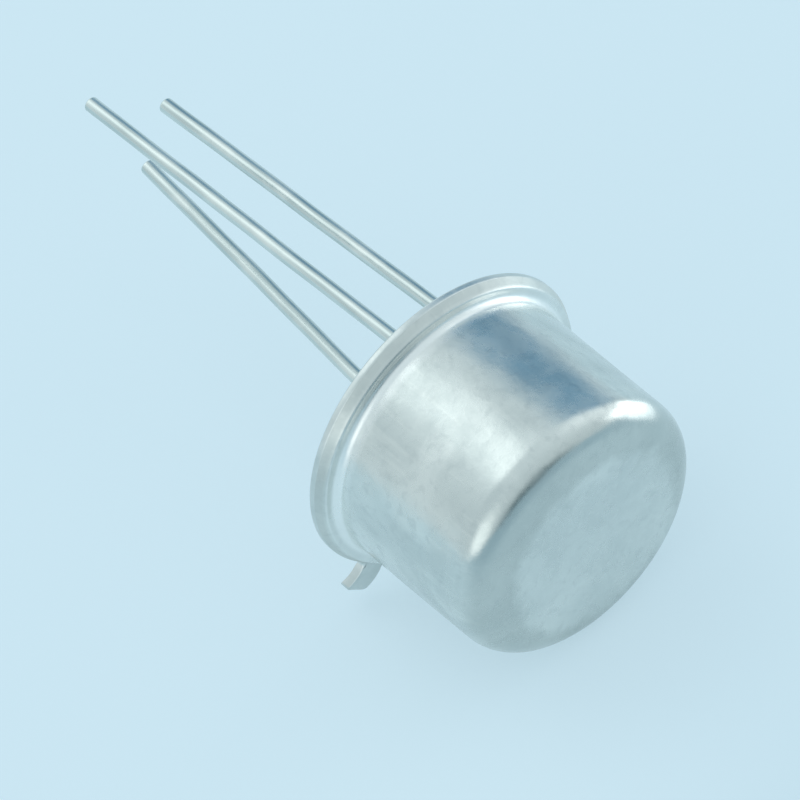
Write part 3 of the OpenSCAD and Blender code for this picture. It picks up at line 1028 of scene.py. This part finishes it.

# %% [markdown]
# ## Painted light and weld marks on the cap
#
# The flat end is painted brighter a little off its middle, and the ring where the sheet begins to
# turn is painted darker: painted reflections of brighter and darker surroundings. The heat of the
# weld greys the lip of the flange and takes its shine. The foot of the wall is painted near white,
# a painted highlight on it and its fillet. Such marks follow the shape, so they are worked out
# from heights and distances.

# %% Painted light and weld marks on the nickel
# Middle and outer radius of the painted bright reflection on the end.
SHEEN_CENTRE = (0.15, 0.45)
SHEEN_EDGE_R = flat_r + 0.45
FOOT_Z = flange_t + sheet_t
# Painted shade for the ring where the end turns, and a painted reflection that brightens the flat end.
END_RING_SHADE, END_SHEEN_TONE = (0.50, 0.54, 0.52), (0.80, 0.83, 0.81)
# A painted highlight for the foot of the wall, and the grey heat tint of the lip.
FOOT_HIGHLIGHT_TONE, HEATED_LIP = (0.97, 0.98, 0.96), (0.46, 0.49, 0.47)
print("end worn to radius", round(SHEEN_EDGE_R, 2), "foot of the wall at height", round(FOOT_Z, 2))


def with_painted_end_light(tree, tone, plain, patches):
    """Paints light and shade into the end's tone: a darker ring where it turns and a brighter patch off its
    middle, painted reflections.
    """
    at_end = by_height(tree, plain, can_h - 0.6, can_h - 0.25)
    edge = plus(tree, across(tree, plain, SHEEN_CENTRE), spread(tree, patches, 0.3, 0.7, -0.15, 0.15))
    outside = times(tree, spread(tree, edge, SHEEN_EDGE_R - 0.15, SHEEN_EDGE_R + 0.25), at_end)
    inside = times(tree, spread(tree, edge, SHEEN_EDGE_R - 0.80, SHEEN_EDGE_R + 0.25, 1, 0), at_end)
    # Painted shade on the ring where the end turns, then a painted reflection on the middle of the end.
    tone = blend(tree, times(tree, outside, 0.55), tone, END_RING_SHADE)
    return blend(tree, times(tree, inside, 0.28), tone, END_SHEEN_TONE)


def with_weld_marks_and_foot_highlight(tree, tone, gloss, plain):
    """Tone and gloss with a painted highlight at the foot of the wall, and a lip that is greyer and duller.
    """
    foot_highlight = times(tree, by_height(tree, plain, FOOT_Z - 0.04, FOOT_Z + 0.03),
                   by_height(tree, plain, FOOT_Z + 0.20, FOOT_Z + 0.55, 1, 0))
    heated = by_height(tree, plain, FOOT_Z - 0.12, FOOT_Z - 0.02, 1, 0)
    # Painted highlight: the foot of the wall and its fillet are tinted near white.
    tone = blend(tree, times(tree, foot_highlight, 0.75), tone, FOOT_HIGHLIGHT_TONE)
    tone = blend(tree, times(tree, heated, 0.2), tone, HEATED_LIP)
    gloss = plus(tree, gloss, by_height(tree, plain, FOOT_Z + 0.1, FOOT_Z + 2 * base_fillet_r, 0.08, 0))
    return tone, plus(tree, gloss, times(tree, heated, 0.15))

# %% [markdown]
# ## Nickel finish of the cap
#
# Tumbled nickel plate is satin, neither mirror nor matt. Broad clouds change its
# tone, smaller patches its gloss, short streaks along the wall are left by the
# drawing die, and a fine grain scatters the highlights. Each is a noise of its own
# size. One noise alone would look like camouflage, and an even tone like paint.

# %% Nickel
NICKEL_SHADE, NICKEL_LIGHT = (0.62, 0.66, 0.64), (0.74, 0.77, 0.74)
DIE_STREAK, DULL_SPOT = (0.80, 0.82, 0.78), (0.54, 0.58, 0.57)


def nickel_finish():
    """Satin nickel: clouds, die streaks and dull spots in tone, patches and grain in gloss, painted light on
    the end and the wall's foot, and weld marks.
    """
    material, tree, shader = plain_material("satin_nickel", metallic=1.0)
    plain = axes_of_can(tree)
    clouds = noise(tree, plain, 0.45, 4.0, 0.6)
    patches = noise(tree, plain, 1.2, 3.0)
    mottle = noise(tree, plain, 3.2, 3.0, 0.4)
    streaks = noise(tree, axes_of_can(tree, (5, 5, 0.35)), 1.0, 2.0)
    grain = noise(tree, plain, 14.0, 2.0)
    tone = blend(tree, spread(tree, clouds, 0.38, 0.64), NICKEL_SHADE, NICKEL_LIGHT)
    tone = blend(tree, spread(tree, streaks, 0.55, 0.75, 0, 0.35), tone, DIE_STREAK)
    tone = blend(tree, spread(tree, mottle, 0.52, 0.72, 0, 0.45), tone, DULL_SPOT)
    tone = with_painted_end_light(tree, tone, plain, patches)
    gloss = plus(tree, spread(tree, patches, 0.35, 0.65, 0.17, 0.29), spread(tree, grain, 0.3, 0.7, 0, 0.05))
    tone, gloss = with_weld_marks_and_foot_highlight(tree, tone, gloss, plain)
    lumps = plus(tree, times(tree, noise(tree, plain, 0.8, 1.0, 0.3), 8), times(tree, mottle, 1.5))
    wire_up(tree, shader, tone, gloss, plus(tree, lumps, times(tree, grain, 0.25)), 0.003)
    return material


dress([cap], nickel_finish())

# %% [markdown]
# ## Plated steel of the header
#
# The header wears a thinner, greyer nickel, a little duller than the cap. Less of it
# shows, so two patterns are enough for it: clouds and grain.

# %% Plated steel
def plated_steel_finish():
    """Greyer plate with small clouds and a fine grain."""
    material, tree, shader = plain_material("plated_steel", metallic=1.0)
    clouds = noise(tree, axes_of_can(tree), 0.9, 4.0, 0.4)
    grain = noise(tree, axes_of_can(tree), 11.0, 2.0)
    tone = blend(tree, spread(tree, clouds, 0.36, 0.66), (0.61, 0.65, 0.63), (0.75, 0.78, 0.76))
    lumps = plus(tree, clouds, grain)
    wire_up(tree, shader, tone, spread(tree, lumps, 0.7, 1.3, 0.28, 0.42), lumps, 0.003)
    return material


dress([header], plated_steel_finish())

# %% [markdown]
# ## Glass, tin and brass
#
# The seal glass is dark blue-green, with a few tiny bubbles under its skin. The
# leads are drawn wire dipped in tin, which freezes with faint streaks along it. They
# are a cloud pattern stretched along the can, because the wires nearly follow it.
# The braze is brass, dulled by flux. Only the skin of the dark glass shows, so it
# needs no light through it: a plain gloss is enough.

# %% Glass
def glass_finish():
    """Dark glossy glass, slightly cloudy, with specks where bubbles lie under the skin."""
    material, tree, shader = plain_material("sealing_glass")
    clouds = noise(tree, axes_of_can(tree), 1.6, 4.0, 0.8)
    bubbles = make_node(tree, "TexVoronoi", {"Vector": axes_of_can(tree), "Scale": 7.0})
    cloudy = spread(tree, clouds, 0.35, 0.65)
    body = blend(tree, cloudy, (0.018, 0.050, 0.055), (0.035, 0.085, 0.088))
    specks = spread(tree, bubbles.outputs["Distance"], 0.06, 0.12, 0.5, 0)
    tone = blend(tree, specks, body, (0.16, 0.26, 0.26))
    wire_up(tree, shader, tone, spread(tree, clouds, 0.3, 0.7, 0.06, 0.16))
    shader.inputs["IOR"].default_value = 1.52
    return material


dress(beads, glass_finish())

# %% Tinned wire
def tinned_finish():
    """Tinned wire: streaks along it in tone and gloss, and soft lumps of frozen tin."""
    material, tree, shader = plain_material("tinned_wire", metallic=1.0)
    streaks = noise(tree, axes_of_can(tree, (6, 6, 0.5)), 1.0, 3.0)
    lumps = noise(tree, axes_of_can(tree, (1, 1, 0.6)), 1.6, 2.0)
    tone = blend(tree, spread(tree, streaks, 0.35, 0.65), (0.58, 0.64, 0.62), (0.71, 0.76, 0.73))
    tone = blend(tree, spread(tree, lumps, 0.56, 0.70, 0, 0.5), tone, (0.82, 0.84, 0.80))
    both = plus(tree, streaks, lumps)
    wire_up(tree, shader, tone, spread(tree, both, 0.7, 1.3, 0.21, 0.34), both, 0.005)
    return material


dress(leads, tinned_finish())

# %% Brass
def brass_finish():
    """Brazing brass: warm metal with dull grey-brown films of old flux."""
    material, tree, shader = plain_material("brazing_brass", metallic=1.0)
    film = noise(tree, axes_of_can(tree), 3.0, 4.0, 0.5)
    tone = blend(tree, spread(tree, film, 0.40, 0.62), (0.72, 0.58, 0.34), (0.46, 0.40, 0.30))
    wire_up(tree, shader, tone, spread(tree, film, 0.35, 0.65, 0.24, 0.46), film, 0.008)
    return material


dress([braze], brass_finish())

# %% [markdown]
# ## The works inside the can
#
# These nine pieces stay as the frame has them, because their shapes are already
# true. They only get their finishes: grey solder with a frosted skin, ground
# molybdenum, lapped silicon, evaporated pads, amber varnish, and two bright metals.

# %% Finishes inside
def inner_finish(name, first, second, gloss, scale, squeeze=(1, 1, 1), metallic=1.0):
    """Two tones in a cloudy or streaky pattern, with the gloss going from one value to another."""
    material, tree, shader = plain_material(name, metallic)
    pattern = noise(tree, axes_of_can(tree, squeeze), scale, 4.0, 0.3)
    tone = blend(tree, spread(tree, pattern, 0.36, 0.64), first, second)
    wire_up(tree, shader, tone, spread(tree, pattern, 0.3, 0.7, *gloss), pattern, 0.002)
    return material


node = frame["nodes"]
dress([node["plate_solder"], node["pellet_solder"]],
      inner_finish("frosted_solder", (0.40, 0.41, 0.42), (0.60, 0.61, 0.62), (0.30, 0.50), 6.0))
dress([node["support_plate"]],
      inner_finish("ground_molybdenum", (0.34, 0.34, 0.36), (0.46, 0.46, 0.48), (0.28, 0.42), 5.0, (1, 8, 1)))
dress([node["pellet"]],
      inner_finish("lapped_silicon", (0.16, 0.17, 0.21), (0.24, 0.25, 0.29), (0.12, 0.24), 7.0))
dress([node["cathode_pad"], node["gate_pad"]],
      inner_finish("evaporated_pad", (0.74, 0.74, 0.75), (0.86, 0.86, 0.87), (0.26, 0.38), 16.0))
dress([node["junction_coating"]],
      inner_finish("amber_varnish", (0.36, 0.13, 0.04), (0.52, 0.22, 0.07), (0.10, 0.22), 2.5, metallic=0.0))
dress([node["cathode_strap"]],
      inner_finish("formed_nickel", (0.62, 0.62, 0.58), (0.74, 0.74, 0.70), (0.18, 0.32), 2.0, (1, 1, 5)))
dress([node["gate_wire"]],
      inner_finish("bonding_aluminium", (0.78, 0.78, 0.80), (0.88, 0.88, 0.90), (0.14, 0.24), 8.0))

# %% [markdown]
# ## Sizes and hand-over
# It only imports json again.

# %% Finish
import json
